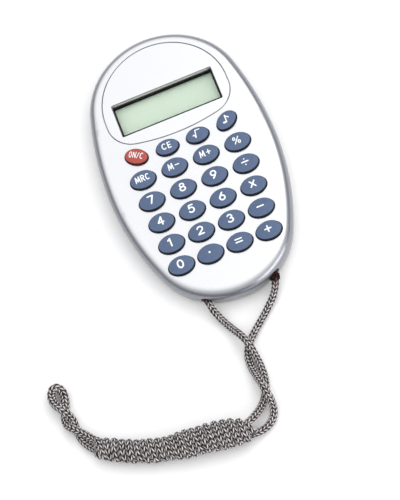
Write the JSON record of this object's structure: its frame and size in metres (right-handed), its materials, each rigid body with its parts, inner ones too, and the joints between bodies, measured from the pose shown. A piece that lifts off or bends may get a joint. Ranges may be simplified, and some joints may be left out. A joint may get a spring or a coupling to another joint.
{
  "type": "pocket calculator",
  "caption": "Flat oval pocket calculator with rounded silver case, D-shaped bezel around the display, oval push keys and a wound neck cord.",
  "frame": {"origin": "centre of the case's footprint, on the flat back that the calculator lies on", "axes": "+Z out of the face, +Y towards the display end, +X towards the right-hand keys"},
  "size_m": [0.1176, 0.1761, 0.0109],
  "materials": {
    "case_silver": "fine metallic silver paint, satin",
    "case_back_silver": "fine metallic silver paint, satin",
    "bezel_silver": "fine metallic silver paint, satin",
    "black_plastic": "matt moulded",
    "display_glass": "polished",
    "display_film": "fine-grained grey-green reflector",
    "contact_rubber": "layered silicone",
    "board_green": "solder mask",
    "chip_epoxy": "poured epoxy",
    "component_ceramic": "fired ceramic",
    "mat_rubber": "moulded silicone",
    "door_silver": "fine metallic silver paint, satin",
    "cell_steel": "drawn steel",
    "contact_metal": "nickel-plated strip",
    "buzzer_brass": "rolled sheet",
    "buzzer_ceramic": "silvered ceramic",
    "wire_red": "extruded insulation",
    "wire_black": "extruded insulation",
    "screw_steel": "zinc-plated",
    "cord_knot_fabric": "knotted braided cord",
    "cord_fabric": "knitted polyester cord, grey",
    "key_blue": "moulded, semi-gloss",
    "key_red": "moulded, semi-gloss",
    "legend_ink": "printed white ink on the keys"
  },
  "bodies": {
    "case": {"front_case": "case_silver", "back_case": "case_back_silver", "display_bezel": "bezel_silver", "lcd_frame": "black_plastic", "lcd_front_glass": "display_glass", "lcd_rear_glass": "display_glass", "lcd_reflector": "display_film", "contact_strip": "contact_rubber", "circuit_board": "board_green", "chip_cover": "chip_epoxy", "board_components": "component_ceramic", "keypad_mat": "mat_rubber", "button_cell": "cell_steel", "contact_negative": "contact_metal", "contact_positive": "contact_metal", "buzzer_disc": "buzzer_brass", "buzzer_crystal": "buzzer_ceramic", "wire_positive": "wire_red", "wire_negative": "wire_black", "wire_buzzer_disc": "wire_black", "wire_buzzer_crystal": "wire_red", "case_screws": "screw_steel", "board_screws": "screw_steel", "cord_knot_left": "cord_knot_fabric", "cord_knot_right": "cord_knot_fabric", "cord_left": "cord_fabric", "cord_right": "cord_fabric", "cord_hank": "cord_fabric", "cord_tail": "cord_fabric"},
    "key_on_clear": {"key_on_clear": "key_red"},
    "key_clear_entry": {"key_clear_entry": "key_blue"},
    "key_square_root": {"key_square_root": "key_blue"},
    "key_tone": {"key_tone": "key_blue"},
    "key_memory_recall": {"key_memory_recall": "key_blue"},
    "key_memory_minus": {"key_memory_minus": "key_blue"},
    "key_memory_plus": {"key_memory_plus": "key_blue"},
    "key_percent": {"key_percent": "key_blue"},
    "key_seven": {"key_seven": "key_blue"},
    "key_eight": {"key_eight": "key_blue"},
    "key_nine": {"key_nine": "key_blue"},
    "key_divide": {"key_divide": "key_blue"},
    "key_four": {"key_four": "key_blue"},
    "key_five": {"key_five": "key_blue"},
    "key_six": {"key_six": "key_blue"},
    "key_multiply": {"key_multiply": "key_blue"},
    "key_one": {"key_one": "key_blue"},
    "key_two": {"key_two": "key_blue"},
    "key_three": {"key_three": "key_blue"},
    "key_minus": {"key_minus": "key_blue"},
    "key_zero": {"key_zero": "key_blue"},
    "key_point": {"key_point": "key_blue"},
    "key_equals": {"key_equals": "key_blue"},
    "key_plus": {"key_plus": "key_blue"},
    "battery_door": {"battery_door": "door_silver"}
  },
  "joints": [
    {"name": "key_on_clear_press", "type": "slide", "parent": "case", "child": "key_on_clear", "axis": [0, 0, -1], "range_m": [0, 0.0008], "stiffness_N_per_m": 400, "springref_m": -0.0003, "deforming": ["keypad_mat"]},
    {"name": "key_clear_entry_press", "type": "slide", "parent": "case", "child": "key_clear_entry", "axis": [0, 0, -1], "range_m": [0, 0.0008], "stiffness_N_per_m": 400, "springref_m": -0.0003, "deforming": ["keypad_mat"]},
    {"name": "key_square_root_press", "type": "slide", "parent": "case", "child": "key_square_root", "axis": [0, 0, -1], "range_m": [0, 0.0008], "stiffness_N_per_m": 400, "springref_m": -0.0003, "deforming": ["keypad_mat"]},
    {"name": "key_tone_press", "type": "slide", "parent": "case", "child": "key_tone", "axis": [0, 0, -1], "range_m": [0, 0.0008], "stiffness_N_per_m": 400, "springref_m": -0.0003, "deforming": ["keypad_mat"]},
    {"name": "key_memory_recall_press", "type": "slide", "parent": "case", "child": "key_memory_recall", "axis": [0, 0, -1], "range_m": [0, 0.0008], "stiffness_N_per_m": 400, "springref_m": -0.0003, "deforming": ["keypad_mat"]},
    {"name": "key_memory_minus_press", "type": "slide", "parent": "case", "child": "key_memory_minus", "axis": [0, 0, -1], "range_m": [0, 0.0008], "stiffness_N_per_m": 400, "springref_m": -0.0003, "deforming": ["keypad_mat"]},
    {"name": "key_memory_plus_press", "type": "slide", "parent": "case", "child": "key_memory_plus", "axis": [0, 0, -1], "range_m": [0, 0.0008], "stiffness_N_per_m": 400, "springref_m": -0.0003, "deforming": ["keypad_mat"]},
    {"name": "key_percent_press", "type": "slide", "parent": "case", "child": "key_percent", "axis": [0, 0, -1], "range_m": [0, 0.0008], "stiffness_N_per_m": 400, "springref_m": -0.0003, "deforming": ["keypad_mat"]},
    {"name": "key_seven_press", "type": "slide", "parent": "case", "child": "key_seven", "axis": [0, 0, -1], "range_m": [0, 0.0008], "stiffness_N_per_m": 400, "springref_m": -0.0003, "deforming": ["keypad_mat"]},
    {"name": "key_eight_press", "type": "slide", "parent": "case", "child": "key_eight", "axis": [0, 0, -1], "range_m": [0, 0.0008], "stiffness_N_per_m": 400, "springref_m": -0.0003, "deforming": ["keypad_mat"]},
    {"name": "key_nine_press", "type": "slide", "parent": "case", "child": "key_nine", "axis": [0, 0, -1], "range_m": [0, 0.0008], "stiffness_N_per_m": 400, "springref_m": -0.0003, "deforming": ["keypad_mat"]},
    {"name": "key_divide_press", "type": "slide", "parent": "case", "child": "key_divide", "axis": [0, 0, -1], "range_m": [0, 0.0008], "stiffness_N_per_m": 400, "springref_m": -0.0003, "deforming": ["keypad_mat"]},
    {"name": "key_four_press", "type": "slide", "parent": "case", "child": "key_four", "axis": [0, 0, -1], "range_m": [0, 0.0008], "stiffness_N_per_m": 400, "springref_m": -0.0003, "deforming": ["keypad_mat"]},
    {"name": "key_five_press", "type": "slide", "parent": "case", "child": "key_five", "axis": [0, 0, -1], "range_m": [0, 0.0008], "stiffness_N_per_m": 400, "springref_m": -0.0003, "deforming": ["keypad_mat"]},
    {"name": "key_six_press", "type": "slide", "parent": "case", "child": "key_six", "axis": [0, 0, -1], "range_m": [0, 0.0008], "stiffness_N_per_m": 400, "springref_m": -0.0003, "deforming": ["keypad_mat"]},
    {"name": "key_multiply_press", "type": "slide", "parent": "case", "child": "key_multiply", "axis": [0, 0, -1], "range_m": [0, 0.0008], "stiffness_N_per_m": 400, "springref_m": -0.0003, "deforming": ["keypad_mat"]},
    {"name": "key_one_press", "type": "slide", "parent": "case", "child": "key_one", "axis": [0, 0, -1], "range_m": [0, 0.0008], "stiffness_N_per_m": 400, "springref_m": -0.0003, "deforming": ["keypad_mat"]},
    {"name": "key_two_press", "type": "slide", "parent": "case", "child": "key_two", "axis": [0, 0, -1], "range_m": [0, 0.0008], "stiffness_N_per_m": 400, "springref_m": -0.0003, "deforming": ["keypad_mat"]},
    {"name": "key_three_press", "type": "slide", "parent": "case", "child": "key_three", "axis": [0, 0, -1], "range_m": [0, 0.0008], "stiffness_N_per_m": 400, "springref_m": -0.0003, "deforming": ["keypad_mat"]},
    {"name": "key_minus_press", "type": "slide", "parent": "case", "child": "key_minus", "axis": [0, 0, -1], "range_m": [0, 0.0008], "stiffness_N_per_m": 400, "springref_m": -0.0003, "deforming": ["keypad_mat"]},
    {"name": "key_zero_press", "type": "slide", "parent": "case", "child": "key_zero", "axis": [0, 0, -1], "range_m": [0, 0.0008], "stiffness_N_per_m": 400, "springref_m": -0.0003, "deforming": ["keypad_mat"]},
    {"name": "key_point_press", "type": "slide", "parent": "case", "child": "key_point", "axis": [0, 0, -1], "range_m": [0, 0.0008], "stiffness_N_per_m": 400, "springref_m": -0.0003, "deforming": ["keypad_mat"]},
    {"name": "key_equals_press", "type": "slide", "parent": "case", "child": "key_equals", "axis": [0, 0, -1], "range_m": [0, 0.0008], "stiffness_N_per_m": 400, "springref_m": -0.0003, "deforming": ["keypad_mat"]},
    {"name": "key_plus_press", "type": "slide", "parent": "case", "child": "key_plus", "axis": [0, 0, -1], "range_m": [0, 0.0008], "stiffness_N_per_m": 400, "springref_m": -0.0003, "deforming": ["keypad_mat"]},
    {"name": "battery_door_release", "type": "slide", "parent": "case", "child": "battery_door", "axis": [0, 0, -1], "range_m": [0, 0.012]}
  ]
}
